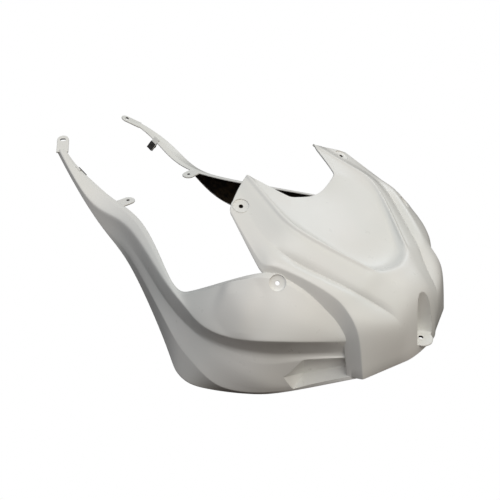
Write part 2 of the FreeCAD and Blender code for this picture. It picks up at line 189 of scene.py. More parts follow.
def folded(net, softness):
    """Each fold column is drawn twice, moved by its softness towards its two neighbours, and never by
    more than the limit's share of the way: the smaller the softness, the crisper the fold."""
    columns = []
    for j, soft in enumerate(softness):
        here = net[:, j]
        if soft:
            for other in (net[:, j - 1], net[:, j + 1]):
                step = other - here
                reach = np.linalg.norm(step, axis=1, keepdims=True)
                columns.append(here + step * np.minimum(soft / reach, FOLD_LIMIT))
        else:
            columns.append(here)
    return np.stack(columns, axis=1)


def hood_net():
    """Control net of the hood, from the right step foot over the middle to the left one."""
    left = np.array(HOOD_LINES, float).transpose(1, 0, 2)
    right = left[:, :0:-1] * (1, -1, 1)
    softness = HOOD_SOFTNESS[:0:-1] + HOOD_SOFTNESS
    return folded(bent(np.concatenate([right, left], axis=1), HOOD_BENDS), softness)


def side_lines():
    """Plain net of the left side. The lip and the crown stand off the straight way from the edge to
    the shoulder, and along the arm the wall's lines run evenly from the shoulder to the bottom."""
    edge, shoulder, bottom = (np.array(line, float) for line in (EDGE, SHOULDER, BOTTOM))
    way = shoulder - edge
    reach = np.linalg.norm(way, axis=1, keepdims=True)
    full = np.minimum(1, reach / FULL_SHOULDER)
    lip = edge + way * np.minimum(LIP_SHARE, LIP_WIDTH / reach) + LIP_WAY * LIP_RISE * full
    crown = edge + way * CROWN_SHARE + CROWN_WAY * np.array(SHOULDER_CROWN)[:, None] * full
    lines = [edge, lip, crown, shoulder]
    for drawn, share in zip((UNDERCUT, BLADE, CHANNEL, FIN), PLAIN_WALL):
        rest = (shoulder + (bottom - shoulder) * share)[len(drawn):]
        lines.append(np.concatenate([np.array(drawn, float), rest]))
    return np.stack(lines + [bottom], axis=1)


def unit(v):
    """The same direction with a length of 1."""
    return v / np.linalg.norm(v)


def squares(sheet):
    """Outward directions of a sheet: across times along, made unit length."""
    along = np.gradient(sheet, axis=0)
    across = np.gradient(sheet, axis=1)
    out = np.cross(across, along)
    return out / np.linalg.norm(out, axis=2, keepdims=True)


def fold_shares(softness):
    """Share of the run across at which the sheet passes each fold: a quadratic spline passes the middle
    of the two columns that are drawn for a fold at the knot with the first one's number."""
    doubled = np.array(softness) > 0
    first = np.arange(len(doubled)) + np.cumsum(doubled) - doubled
    spans = len(doubled) + doubled.sum() - 2
    return {j: first[j] / spans for j in np.flatnonzero(doubled)}


def shares(net, count, axis, folds=()):
    """Even shares of the run along one axis of the net, with some more close to each end, so that a rim
    can be rounded there, and beside each fold. The speed of a first short step turns the rim's
    millimetres into shares."""
    short = 1e-3
    probe = np.array([0, short])
    middle = np.array([0.5])
    sheet = skin(net, probe, middle) if axis == 0 else skin(net, middle, probe)
    speed = np.linalg.norm(np.diff(sheet, axis=axis)) / short
    near = RIM_STEPS / speed
    span = 1 / (net.shape[axis] - 3 + axis)
    around = [fold + span * FOLD_STEPS for fold in folds]
    even = np.unique(np.concatenate([np.linspace(0, 1, count), *around]).round(6))
    clear = near[-1] * RIM_CLEAR
    inner = even[(even > clear) & (even < 1 - clear)]
    return np.concatenate([[0], near, inner, 1 - near[::-1], [1]])


def beside(sheet, across, fold):
    """Signed distance of every point of a sheet from a fold, along its row."""
    step = np.linalg.norm(np.diff(sheet, axis=1), axis=2)
    run = np.concatenate([np.zeros((len(step), 1)), np.cumsum(step, axis=1)], axis=1)
    after = np.searchsorted(across, fold)
    part = (fold - across[after - 1]) / (across[after] - across[after - 1])
    return run - (run[:, [after - 1]] * (1 - part) + run[:, [after]] * part)


def fade(share, start, end):
    """Smooth step from 0 at the start to 1 at the end: three times the square less twice the cube of the
    share of the way."""
    t = np.clip((share - start) / (end - start), 0, 1)
    return t * t * (3 - 2 * t)


def groove(distance, depth, width):
    """Crisp valley: the depth times a falling exponential of the distance over the width. The root of
    the squared distance and a small constant rounds its point."""
    return -depth * np.exp(-np.sqrt(distance ** 2 + GROOVE_ROUND) / width)


def step_down(distance, depth, widths):
    """Crisp drop: the depth times a falling exponential of the distance over one width before the drop
    and another one after it."""
    return -depth * np.exp(-np.abs(distance) / np.where(distance < 0, *widths))


def swell(distance, height, width):
    """Rounded bead: the height times a bell curve of the distance over the width."""
    return height * np.exp(-(distance / width) ** 2)


def border_distance(sheet):
    """Distance of every grid point from the nearest end of its row and of its column."""
    nearest = np.full(sheet.shape[:2], np.inf)
    for axis in (0, 1):
        step = np.linalg.norm(np.diff(sheet, axis=axis), axis=2)
        start = np.concatenate([np.zeros_like(step.take([0], axis)), np.cumsum(step, axis)], axis)
        end = start.take([-1], axis) - start
        nearest = np.minimum(nearest, np.minimum(start, end))
    return nearest


def quads(numbers):
    """Corner numbers of every cell of a numbered grid."""
    corners = (numbers[:-1, :-1], numbers[:-1, 1:], numbers[1:, 1:], numbers[1:, :-1])
    return np.stack(corners, axis=2).reshape(-1, 4)


def moulding(outer, overspray=5.0):
    """Closed thin wall under a sheet. Two sheets leave the middle of the wall by half its thickness
    times a quarter circle of the distance from the border, so they meet in a rounded rim. The inner
    sheet is paint near the rim and raw beyond the overspray."""
    half = WALL / 2
    square = squares(outer)
    middle = outer - square * half
    distance = border_distance(outer)
    bulge = half * np.sqrt(1 - (1 - np.minimum(distance / half, 1)) ** 2)
    top = middle + square * bulge[..., None]
    under = middle - square * bulge[..., None]
    rows, columns = outer.shape[:2]
    numbers = np.arange(rows * columns).reshape(rows, columns)
    inner_numbers = numbers + rows * columns
    for border in (np.s_[0], np.s_[-1], np.s_[:, 0], np.s_[:, -1]):
        inner_numbers[border] = numbers[border]
    faces = np.concatenate([quads(numbers), quads(inner_numbers)[:, ::-1]])
    raw = (distance[:-1, :-1] > overspray).ravel()
    finish = np.concatenate([np.zeros(len(raw), int), np.where(raw, INSIDE, OUTSIDE)])
    return np.concatenate([top.reshape(-1, 3), under.reshape(-1, 3)]), faces, finish


def across_from(axis):
    """Two directions square to an axis and to each other."""
    axis = unit(axis)
    helper = np.array([1.0, 0, 0]) if abs(axis[0]) < 0.8 else np.array([0, 1.0, 0])
    first = unit(np.cross(helper, axis))
    return first, np.cross(axis, first)


def stacked(rings):
    """Closed solid over a stack of rings with equal counts: quads between neighbouring rings and one
    flat face on the first and the last. Rings run anticlockwise seen from the end of the stack."""
    levels, count = rings.shape[:2]
    numbers = np.arange(levels * count).reshape(levels, count)
    turned = np.roll(numbers, -1, axis=1)
    walls = np.stack([numbers[:-1], turned[:-1], turned[1:], numbers[1:]], axis=2).reshape(-1, 4)
    return rings.reshape(-1, 3), walls.tolist() + [numbers[0, ::-1].tolist(), numbers[-1].tolist()]


TURN_STEPS = 56


def lathed(profile, place, count=TURN_STEPS):
    """Turned solid: every (radius, height) of the profile carried round the place's axis."""
    point, axis = place
    first, second = across_from(axis)
    turn = np.linspace(0, 2 * np.pi, count, endpoint=False)
    circle = np.cos(turn)[:, None] * first + np.sin(turn)[:, None] * second
    radius, height = np.array(profile, float).T
    return stacked(point + radius[:, None, None] * circle + height[:, None, None] * unit(axis))


def lengthened(outline, levels, origin, directions):
    """Solid of a flat outline at several (height, inset) levels along the third direction. An inset
    moves the outline inward, square to itself."""
    ahead = np.roll(outline, -1, axis=0) - np.roll(outline, 1, axis=0)
    inward = np.stack([-ahead[:, 1], ahead[:, 0]], axis=1)
    inward /= np.linalg.norm(inward, axis=1, keepdims=True)
    first, second, third = directions
    rings = []
    for height, inset in levels:
        flat = outline + inward * inset
        rings.append(origin + flat[:, :1] * first + flat[:, 1:] * second + height * third)
    return stacked(np.stack(rings))


def plate_levels(thick, edge):
    """Levels of a flat plate with its edges broken above and below."""
    half = thick / 2
    return [(-half, edge), (edge - half, 0), (half - edge, 0), (half, edge)]


def tongue_outline(root, reach, half, count=24):
    """Flat tab outline: straight from its root, and a half circle round its hole."""
    turn = np.linspace(-np.pi / 2, np.pi / 2, count)
    nose = np.stack([reach + half * np.cos(turn), half * np.sin(turn)], axis=1)
    return np.concatenate([[(-root, -half)], nose, [(-root, half)]])


def slot_outline(length, half, count=20):
    """Two half circles a length apart, joined by straight runs."""
    turn = np.linspace(-np.pi / 2, np.pi / 2, count)
    end = np.stack([half * np.cos(turn), half * np.sin(turn)], axis=1)
    return np.concatenate([end + (length / 2, 0), -end - (length / 2, 0)])


def scoop_shape(corner, edges, fillet, count=14):
    """Slanting block along its forward edge. In section it has the corner of its upward and outward
    edges replaced by a parabola that leaves each of them at the fillet from the corner."""
    forward, upward, outward = edges
    up, out = unit(upward) * fillet, unit(outward) * fillet
    t = np.linspace(0, 1, count)[:, None]
    hollow = (1 - t) ** 2 * out + t ** 2 * up
    section = np.concatenate([hollow, [upward, upward + outward, outward]])
    rings = corner + np.stack([section, section + forward])
    points, faces = stacked(rings)
    return points, [face[::-1] for face in faces]


def prism(sheet, shift):
    """Solid that a sheet sweeps over when it moves by the shift."""
    rows, columns = sheet.shape[:2]
    below = rows * columns
    top = np.arange(below).reshape(rows, columns)
    rim = np.concatenate([top[0, :-1], top[:-1, -1], top[-1, :0:-1], top[:0:-1, 0]])
    after = np.roll(rim, -1)
    sides = np.stack([after, rim, rim + below, after + below], axis=1)
    points = np.concatenate([sheet.reshape(-1, 3), (sheet + shift).reshape(-1, 3)])
    return points, np.concatenate([quads(top), quads(top + below)[:, ::-1], sides])


def mirrored(points, faces, finish=OUTSIDE):
    """The same solid on the rider's right, with its faces turned so that they still point outwards."""
    turned = faces[:, ::-1] if isinstance(faces, np.ndarray) else [face[::-1] for face in faces]
    return points * (1, -1, 1), turned, finish


def solid(name, points, faces, finish=OUTSIDE):
    """Mesh object with the outside and inside finishes in its first two slots."""
    mesh = bpy.data.meshes.new(name)
    corners = faces.tolist() if isinstance(faces, np.ndarray) else faces
    mesh.from_pydata((points * MM).tolist(), [], corners)
    mesh.materials.append(PAINT)
    mesh.materials.append(RAW)
    slots = np.broadcast_to(finish, len(mesh.polygons)).astype(np.int32)
    mesh.polygons.foreach_set("material_index", slots)
    obj = bpy.data.objects.new(name, mesh)
    bpy.context.scene.collection.objects.link(obj)
    return obj


def both_sides(name, shape, finish=OUTSIDE):
    """The left piece and its mirror image."""
    points, faces = shape
    return [
        solid(name + "_left", points, faces, finish),
        solid(name + "_right", *mirrored(points, faces, finish)),
    ]


def rounded(obj, width, segments=4, sharp=40):
    """Rounds an object's edges that turn by more than the sharp angle."""
    bevel = obj.modifiers.new("edge", "BEVEL")
    bevel.width = width * MM
    bevel.segments = segments
    bevel.limit_method = "ANGLE"
    bevel.angle_limit = math.radians(sharp)
    return obj


def combined(base, operation, others):
    """Base joined with, cut by or kept inside the others, and the others removed."""
    for other in others:
        step = base.modifiers.new("step", "BOOLEAN")
        step.operation = operation
        step.solver = "MANIFOLD"
        step.object = other
    settled(base)
    for other in others:
        bpy.data.objects.remove(other)
    return base


def settled(obj):
    """Puts the result of an object's modifiers into its mesh."""
    view = bpy.context.evaluated_depsgraph_get()
    mesh = bpy.data.meshes.new_from_object(obj.evaluated_get(view))
    obj.modifiers.clear()
    obj.data = mesh
    return obj


# Finishes

def nodes_of(material):
    """A material's tree, nodes and links, and its surface shader."""
    material.use_nodes = True
    tree = material.node_tree
    return tree, tree.nodes, tree.links, tree.nodes["Principled BSDF"]


def noise(tree, where, scale, detail, roughness=0.55):
    """Noise texture on object coordinates, in features per metre."""
    texture = tree.nodes.new("ShaderNodeTexNoise")
    texture.inputs["Scale"].default_value = scale
    texture.inputs["Detail"].default_value = detail
    texture.inputs["Roughness"].default_value = roughness
    tree.links.new(where, texture.inputs["Vector"])
    return texture


def spread(tree, value, low, high, to_low, to_high):
    """Maps a value from one range to another and holds it at the ends."""
    ramp = tree.nodes.new("ShaderNodeMapRange")
    ramp.inputs["From Min"].default_value = low
    ramp.inputs["From Max"].default_value = high
    ramp.inputs["To Min"].default_value = to_low
    ramp.inputs["To Max"].default_value = to_high
    tree.links.new(value, ramp.inputs["Value"])
    return ramp.outputs["Result"]


def tinted(tree, share, first, second):
    """Colour that goes from the first to the second with the share."""
    mix = tree.nodes.new("ShaderNodeMix")
    mix.data_type = "RGBA"
    mix.inputs["A"].default_value = (*first, 1)
    mix.inputs["B"].default_value = (*second, 1)
    tree.links.new(share, mix.inputs["Factor"])
    return mix


PRIMER_TINTS = ((0.765, 0.78, 0.755), (0.80, 0.80, 0.775))
LAMINATE_TINTS = ((0.008, 0.007, 0.006), (0.05, 0.034, 0.018))
STEEL_TINTS = ((0.018, 0.018, 0.02), (0.075, 0.07, 0.064))


def white_primer():
    """Satin off-white coat: broad faint tint changes, fine orange peel and a slightly uneven gloss."""
    material = bpy.data.materials.new("white_primer")
    tree, nodes, links, surface = nodes_of(material)
    where = nodes.new("ShaderNodeTexCoord").outputs["Object"]
    clouds = noise(tree, where, 9, 3)
    tint = tinted(tree, spread(tree, clouds.outputs["Fac"], 0.35, 0.65, 0, 1), *PRIMER_TINTS)
    links.new(tint.outputs["Result"], surface.inputs["Base Color"])
    gloss = noise(tree, where, 60, 4)
    links.new(spread(tree, gloss.outputs["Fac"], 0.3, 0.7, 0.27, 0.35), surface.inputs["Roughness"])
    peel = noise(tree, where, 420, 2)
    bump = nodes.new("ShaderNodeBump")
    bump.inputs["Strength"].default_value = 0.05
    bump.inputs["Distance"].default_value = 0.0006
    links.new(peel.outputs["Fac"], bump.inputs["Height"])
    links.new(bump.outputs["Normal"], surface.inputs["Normal"])
    surface.inputs["Specular IOR Level"].default_value = 0.4
    surface.inputs["Coat Weight"].default_value = 0.3
    surface.inputs["Coat Roughness"].default_value = 0.2
    return material


def raw_laminate():
    """Near-black raw inside with brown mottling and a coarse fibre texture."""
    material = bpy.data.materials.new("raw_laminate")
    tree, nodes, links, surface = nodes_of(material)
    where = nodes.new("ShaderNodeTexCoord").outputs["Object"]
    mottle = noise(tree, where, 70, 5, 0.7)
    tint = tinted(tree, spread(tree, mottle.outputs["Fac"], 0.42, 0.62, 0, 1), *LAMINATE_TINTS)
    links.new(tint.outputs["Result"], surface.inputs["Base Color"])
    links.new(spread(tree, mottle.outputs["Fac"], 0.3, 0.7, 0.42, 0.62), surface.inputs["Roughness"])
    fibre = nodes.new("ShaderNodeTexVoronoi")
    fibre.inputs["Scale"].default_value = 260
    links.new(where, fibre.inputs["Vector"])
    bump = nodes.new("ShaderNodeBump")
    bump.inputs["Strength"].default_value = 0.35
    bump.inputs["Distance"].default_value = 0.0006
    links.new(fibre.outputs["Distance"], bump.inputs["Height"])
    links.new(bump.outputs["Normal"], surface.inputs["Normal"])
    return material


def black_steel():
    """Black phosphated spring steel: dark, slightly mottled, half metallic."""
    material = bpy.data.materials.new("black_steel")
    tree, nodes, links, surface = nodes_of(material)
    where = nodes.new("ShaderNodeTexCoord").outputs["Object"]
    grain = noise(tree, where, 900, 4)
    tint = tinted(tree, spread(tree, grain.outputs["Fac"], 0.35, 0.7, 0, 1), *STEEL_TINTS)
    links.new(tint.outputs["Result"], surface.inputs["Base Color"])
    links.new(spread(tree, grain.outputs["Fac"], 0.3, 0.7, 0.35, 0.6), surface.inputs["Roughness"])
    bump = nodes.new("ShaderNodeBump")
    bump.inputs["Strength"].default_value = 0.2
    bump.inputs["Distance"].default_value = 0.0002
    links.new(grain.outputs["Fac"], bump.inputs["Height"])
    links.new(bump.outputs["Normal"], surface.inputs["Normal"])
    surface.inputs["Metallic"].default_value = 0.6
    return material


PAINT = white_primer()
RAW = raw_laminate()

# Hood and sides
HOOD_GRID = (78, 90)
SIDE_GRID = (130, 44)
CREST_LINE, CREASE_LINE, SHOULDER_LINE = 2, 3, 3
CREST_START = (0.42, 0.5)
CREST_WIDTH = 3.0
BEAD_OUT, BEAD_HEIGHT = -2.0, 1.2
GROOVE_OUT, GROOVE_DEPTH = 4.0, 1.3
CREASE_START, CREASE_END = (0.06, 0.2), (0.7, 0.86)
CREASE_DEPTH = 4.6
CREASE_WIDTHS = (4.5, 22.0)
CREASE_WAY = np.array([0.35, 0.25, 0.9])
BEND_START, BEND_END = (-184, 166), (-110, 176)
BEND_HEIGHT = 3.6
BEND_WIDTH = 18.0
BEND_SOFT = 3.0
BEND_RISE, BEND_FALL = (-0.05, 0.2), (0.55, 0.95)
LIP_FREE = (0.03, 0.09)
SHOULDER_FREE = 0.06


def hood_surface():
    """The hood's sheet with a bead along both crests, a shallow groove outside it, and a crisp step down
    along both creases: an exponential fall towards the crease and a slower one back over the lobe."""
    net = hood_net()
    folds = fold_shares(HOOD_SOFTNESS[:0:-1] + HOOD_SOFTNESS)
    along = shares(net, HOOD_GRID[0], 0)
    across = shares(net, HOOD_GRID[1], 1, folds.values())
    sheet = skin(net, along, across)
    middle = len(HOOD_SOFTNESS) - 1
    rise = np.zeros(sheet.shape[:2])
    drop = np.zeros(sheet.shape)
    ahead = along[:, None]
    for side in (-1, 1):
        out = side * beside(sheet, across, folds[middle + side * CREST_LINE])
        bead = swell(out - BEAD_OUT, BEAD_HEIGHT, CREST_WIDTH)
        valley = groove(out - GROOVE_OUT, GROOVE_DEPTH, CREST_WIDTH)
        rise += fade(ahead, *CREST_START) * (bead + valley)
        out = side * beside(sheet, across, folds[middle + side * CREASE_LINE])
        run = fade(ahead, *CREASE_START) * (1 - fade(ahead, *CREASE_END))
        fall = run * step_down(out, CREASE_DEPTH, CREASE_WIDTHS)
        drop += fall[..., None] * unit(CREASE_WAY * (1, side, 1))
    return sheet + squares(sheet) * rise[..., None] + drop


def side_surface(lines):
    """The left side's sheet with a soft bend slantwise over its shoulder: a low ridge with straight
    flanks whose top is rounded, along the plan line from the lip to the shoulder edge."""
    net = folded(lines, SIDE_SOFTNESS)
    folds = fold_shares(SIDE_SOFTNESS)
    along = shares(net, SIDE_GRID[0], 0)
    across = shares(net, SIDE_GRID[1], 1, folds.values())
    sheet = skin(net, along, across)
    start, end = np.array(BEND_START, float), np.array(BEND_END, float)
    way = end - start
    length = np.linalg.norm(way)
    plan = sheet[..., :2] - start
    ahead = plan @ way / length ** 2
    off = (plan[..., 0] * way[1] - plan[..., 1] * way[0]) / length
    ridge = BEND_HEIGHT - (np.sqrt(off ** 2 + BEND_SOFT ** 2) - BEND_SOFT) * BEND_HEIGHT / BEND_WIDTH
    fold = folds[SHOULDER_LINE]
    shoulder = fade(across, *LIP_FREE) * (1 - fade(across, fold - SHOULDER_FREE, fold))
    ends = fade(ahead, *BEND_RISE) * (1 - fade(ahead, *BEND_FALL))
    rise = np.maximum(ridge, 0) * shoulder * ends
    return sheet + squares(sheet) * rise[..., None]


hood_sheet = hood_surface()
side_net = bent(side_lines(), SIDE_BENDS)
side_sheet = side_surface(side_net)
cover = solid("cover_shell", *moulding(hood_sheet))
side_shape = moulding(side_sheet)
parts = []
cuts = []

# Scoops in the front of the lower sides
SCOOP_CORNER = (-95, 110, -45)
SCOOP_TOP_REAR = (-82, 130, -3)
SCOOP_TOP_FRONT = (-49, 96, -2)
SCOOP_SILL_REAR = (-86, 134, -47)
SCOOP_SILL_FRONT = (-38, 100, -23)
SCOOP_END = (-96, 150, -27)
SCOOP_HEEL = (-89, 132, -51)
SCOOP_LENGTH = 100
SCOOP_HEIGHT = 58
SCOOP_DEPTH = 55
SCOOP_RUN_ON = 9.0
SCOOP_ROUND = 1.5
SCOOP_FILLET = 7.0
PANEL_GRID = (90, 30)
HEEL_BLOCK = 60.0
INWARD = np.array([-0.62, -0.78, -0.15])


def square_to(a, b, c):
    """Direction square to the plane through three points."""
    return unit(np.cross(b - a, c - a))


def scoop_directions():
    """Corner of the scoop, and its forward, upward and outward edges: each lies in two of its walls."""
    corner, top_rear, top_front, sill_rear, sill_front, end = (
        np.array(p, float) for p in (
            SCOOP_CORNER, SCOOP_TOP_REAR, SCOOP_TOP_FRONT, SCOOP_SILL_REAR, SCOOP_SILL_FRONT, SCOOP_END,
        )
    )
    back = square_to(corner, top_rear, top_front)
    floor = square_to(corner, sill_front, sill_rear)
    rear = square_to(corner, end, top_rear)
    forward = unit(np.cross(back, floor)) * SCOOP_LENGTH
    upward = unit(np.cross(rear, back)) * SCOOP_HEIGHT
    outward = unit(np.cross(floor, rear)) * SCOOP_DEPTH
    behind = (forward * (WALL / forward.dot(rear)) + upward * (WALL / upward.dot(floor))
              + outward * (WALL / outward.dot(back)))
    return corner, behind, (forward, upward, outward)


corner, behind, edges = scoop_directions()
lower_panel = skin(side_net[:, BLADE_LINE:], *(np.linspace(0, 1, count) for count in PANEL_GRID))
lower_panel = lower_panel - squares(lower_panel) * (WALL / 2)
run_on = lower_panel[:1] - lower_panel[1:2]
run_on *= SCOOP_RUN_ON / np.linalg.norm(run_on, axis=2, keepdims=True)
lower_panel = np.concatenate([lower_panel[:1] + run_on, lower_panel])
scoop_block = scoop_shape(corner - behind, edges, SCOOP_FILLET + WALL)
scoop_void = scoop_shape(corner, edges, SCOOP_FILLET)
under_panel = prism(lower_panel, INWARD * SCOOP_LENGTH)
heel = np.array([SCOOP_CORNER, SCOOP_END, SCOOP_HEEL], float)
heel_up = square_to(*heel)
heel_up *= np.sign(heel_up @ edges[0])
heel_along = unit(heel[1] - heel[2])
heel_frame = (heel_along, np.cross(heel_up, heel_along), heel_up)
heel_square = np.array([(-1, -1), (1, -1), (1, 1), (-1, 1)]) * HEEL_BLOCK
scoop_heel = lengthened(heel_square, [(-HEEL_BLOCK, 0), (0, 0)], heel.mean(axis=0), heel_frame)
for hand in (lambda *shape: shape, mirrored):
    side = solid("side", *hand(*side_shape))
    block = solid("scoop_block", *hand(*scoop_block, INSIDE))
    combined(block, "INTERSECT", [solid("under_panel", *hand(*under_panel, INSIDE))])
    combined(side, "UNION", [block])
    void = solid("scoop_void", *hand(*scoop_void))
    combined(void, "DIFFERENCE", [solid("heel", *hand(*scoop_heel))])
    parts.append(combined(side, "DIFFERENCE", [rounded(void, SCOOP_ROUND)]))

# Nose pocket with its tongue and hole
POCKET_RADIUS = 17
POCKET_BACK = 11
POCKET_HEIGHT = 120
POCKET_FRONT = 40
POCKET_ROUND = 2.0
POCKET_ROUND_MIDDLE = (0.6, 0.7)
POCKET_LEVELS = 40
LINER_COLUMNS = 40
TONGUE_REACH = 15
TONGUE_EDGE = 0.8
FRONT_HOLE = 3.0
FRONT_CLEAR = 9.0
UPRIGHT = np.eye(3)


def pocket_outline(radius, count=40):
    """Plan of the pocket: a half circle at the back and straight sides to the front."""
    turn = np.linspace(np.pi / 2, 3 * np.pi / 2, count)
    back = np.stack([radius * np.cos(turn), radius * np.sin(turn)], axis=1)
    front = np.array([(POCKET_FRONT, -radius), (POCKET_FRONT, radius)])
    return np.concatenate([back, front]) + (POCKET_RADIUS - POCKET_BACK, 0)


round_up, round_inset = POCKET_ROUND_MIDDLE
straight = np.linspace(WALL / 2 + POCKET_ROUND, POCKET_HEIGHT, POCKET_LEVELS)
pocket_levels = [(WALL / 2, POCKET_ROUND), (WALL / 2 + round_up, round_inset)]
pocket_levels += [(height, 0.0) for height in straight]
cuts.append(solid("pocket_void", *lengthened(pocket_outline(POCKET_RADIUS), pocket_levels, 0, UPRIGHT)))
liner_levels = [(-WALL / 2, 0), (POCKET_HEIGHT, 0)]
liner_shape = lengthened(pocket_outline(POCKET_RADIUS + WALL), liner_levels, 0, UPRIGHT)
liner = solid("pocket_liner", *liner_shape, INSIDE)
centre_columns = hood_sheet.shape[1] // 2 + np.arange(-LINER_COLUMNS, LINER_COLUMNS + 1)
centre_sheet = (hood_sheet - squares(hood_sheet) * (WALL / 2))[:, centre_columns]
under_hood = prism(centre_sheet, np.array([-1, 0, -1]) * POCKET_HEIGHT)
parts.append(combined(liner, "INTERSECT", [solid("under_hood", *under_hood, INSIDE)]))
tongue_shape = tongue_outline(POCKET_BACK, 0, TONGUE_REACH)
parts.append(solid("tongue", *lengthened(tongue_shape, plate_levels(WALL, TONGUE_EDGE), 0, UPRIGHT)))
front_hole = [(FRONT_HOLE, -FRONT_CLEAR), (FRONT_HOLE, FRONT_CLEAR)]
cuts.append(solid("front_hole", *lathed(front_hole, MOUNTS["front_screw"]), INSIDE))

# Dished screw seats
SEAT_RADIUS = 10.0
SEAT_RIM = 2.5
SEAT_HOLE = 2.75
SEAT_HOLE_EDGE = 0.3
SEAT_CLEAR = 30
DISH_ROUND = [(1.2, 0), (0.35, 0.35), (0, 1.1)]
COLLAR_OUT = 0.7
COLLAR_IN = 1.0
COLLAR_RISE = 1.8
FLOOR_UP = WALL / 2


def raw_start(faces):
    """Finishes of a turned solid's faces: raw on its first ring of walls."""
    return np.where(np.arange(len(faces)) < TURN_STEPS, INSIDE, OUTSIDE)


dish = [
    (SEAT_HOLE, -SEAT_CLEAR),
    (SEAT_HOLE, FLOOR_UP - SEAT_HOLE_EDGE),
    (SEAT_HOLE + SEAT_HOLE_EDGE, FLOOR_UP),
]
dish += [(SEAT_RADIUS - inset, FLOOR_UP + height) for inset, height in DISH_ROUND]
dish += [(SEAT_RADIUS, SEAT_CLEAR)]
boss = [
    (SEAT_RADIUS + SEAT_RIM, -FLOOR_UP),
    (SEAT_RADIUS + SEAT_RIM, FLOOR_UP),
    (SEAT_RADIUS + COLLAR_OUT, FLOOR_UP),
    (SEAT_RADIUS + COLLAR_OUT, FLOOR_UP + COLLAR_RISE),
    (SEAT_RADIUS - COLLAR_IN, FLOOR_UP + COLLAR_RISE),
]
for seat in ("wing_screw", "shoulder_screw"):
    for hand in ("left", "right"):
        place = MOUNTS[f"{seat}_{hand}"]
        points, faces = lathed(boss, place)
        finish = raw_start(faces)
        # The last face but one is the boss's underside.
        finish[-2] = INSIDE
        parts.append(solid(f"{seat}_boss_{hand}", points, faces, finish))
        points, faces = lathed(dish, place)
        cuts.append(solid(f"{seat}_dish_{hand}", points, faces, raw_start(faces)))

# Screw tabs on the arms
TAB_THICK = 3.0
TAB_EDGE = 0.7
TAB_ROOT = 6.0
TAB_HOLE = 2.75
TAB_CLEAR = 6.0
MID_TAB = (15.0, 11.0)
TIP_TAB = (21.0, 10.0)
TIP_SLOT = 4.0
TIP_SWING = 40
TIP_RISE = 26
TAB_DROP = 0.5
CLIP_FROM_TIP = 50.0
CLIP_DROOP = 55
CLIP_TAB = (17.0, 6.5)
CLIP_HOLE = (10.0, 3.0)
EDGE_POINTS = 4000
tab_levels = plate_levels(TAB_THICK, TAB_EDGE)
arm_edge = skin(side_net[:, :3], np.linspace(0, 1, EDGE_POINTS), np.array([0.0]))[:, 0]


def tab_frame(inward, up):
    """Directions of a tab: out along it, over its width, and up square to it."""
    return unit(inward), unit(np.cross(up, inward)), unit(up)


def edge_ways(point):
    """Rearward run of the arm's inner edge beside a point, and the level way inward."""
    nearest = np.argmin(np.linalg.norm(arm_edge - point, axis=1))
    rearward = unit(arm_edge[nearest + 1] - arm_edge[nearest - 1])
    return rearward, unit(np.cross((0, 0, 1), rearward))


mid_hole, mid_up = MOUNTS["arm_screw_left"]
rearward, inward = edge_ways(mid_hole)
mid_frame = tab_frame(inward, mid_up)
reach, half = MID_TAB
mid_root = mid_hole - mid_frame[0] * reach
mid_shape = lengthened(tongue_outline(TAB_ROOT, reach, half), tab_levels, mid_root, mid_frame)
parts += both_sides("mid_tab", mid_shape)
for hand in ("left", "right"):
    hole = lathed([(TAB_HOLE, -TAB_CLEAR), (TAB_HOLE, TAB_CLEAR)], MOUNTS["arm_screw_" + hand])
    cuts.append(solid("mid_hole_" + hand, *hole, INSIDE))

swing = math.radians(180 + TIP_SWING)
rise = math.radians(TIP_RISE)
tip_out = np.array([math.cos(swing) * math.cos(rise), math.sin(swing) * math.cos(rise), math.sin(rise)])
tip_over = np.array([-math.sin(swing), math.cos(swing), 0])
tip_frame = (tip_out, tip_over, np.cross(tip_out, tip_over))
tip = (np.array(EDGE[-1], float) + SHOULDER[-1]) / 2 - tip_frame[2] * (TAB_DROP + TAB_THICK / 2)
reach, half = TIP_TAB
tip_shape = lengthened(tongue_outline(TAB_ROOT, reach, half), tab_levels, tip, tip_frame)
parts += both_sides("tip_tab", tip_shape)
slot_frame = (tip_over, -tip_out, tip_frame[2])
slot_levels = [(-TAB_CLEAR, 0), (TAB_CLEAR, 0)]
slot = lengthened(slot_outline(TIP_SLOT, TAB_HOLE), slot_levels, tip + tip_out * reach, slot_frame)
cuts += both_sides("tip_slot", slot, INSIDE)

run = np.cumsum(np.linalg.norm(np.diff(arm_edge, axis=0), axis=1))
clip_at = arm_edge[np.searchsorted(run, run[-1] - CLIP_FROM_TIP)]
rearward, inward = edge_ways(clip_at)
droop = math.radians(CLIP_DROOP)
level_up = np.cross(rearward, inward)
clip_in = inward * math.cos(droop) - level_up * math.sin(droop)
clip_frame = tab_frame(clip_in, np.cross(rearward, clip_in))
clip_root = clip_at - clip_frame[2] * (TAB_DROP + TAB_THICK / 2)
reach, half = CLIP_TAB
square_tab = np.array([(-TAB_ROOT, -half), (reach, -half), (reach, half), (-TAB_ROOT, half)])
parts += both_sides("clip_tab", lengthened(square_tab, tab_levels, clip_root, clip_frame))
hole_in, hole_radius = CLIP_HOLE
clip_hole = (clip_root + clip_frame[0] * hole_in, clip_frame[2])
clip_bore = [(hole_radius, -TAB_CLEAR), (hole_radius, TAB_CLEAR)]
cuts += both_sides("clip_hole", lathed(clip_bore, clip_hole))

# The whole cover, and the clips' finish
SHARP_ANGLE = 35
combined(cover, "UNION", parts)
combined(cover, "DIFFERENCE", cuts)
cover.data.polygons.foreach_set("use_smooth", np.ones(len(cover.data.polygons), bool))
cover.data.set_sharp_from_angle(angle=math.radians(SHARP_ANGLE))
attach(cover, "root")
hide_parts("tank_cover")

steel = black_steel()
clips = frame["nodes"]["clip_nut"]
clips.data.materials.clear()
clips.data.materials.append(steel)

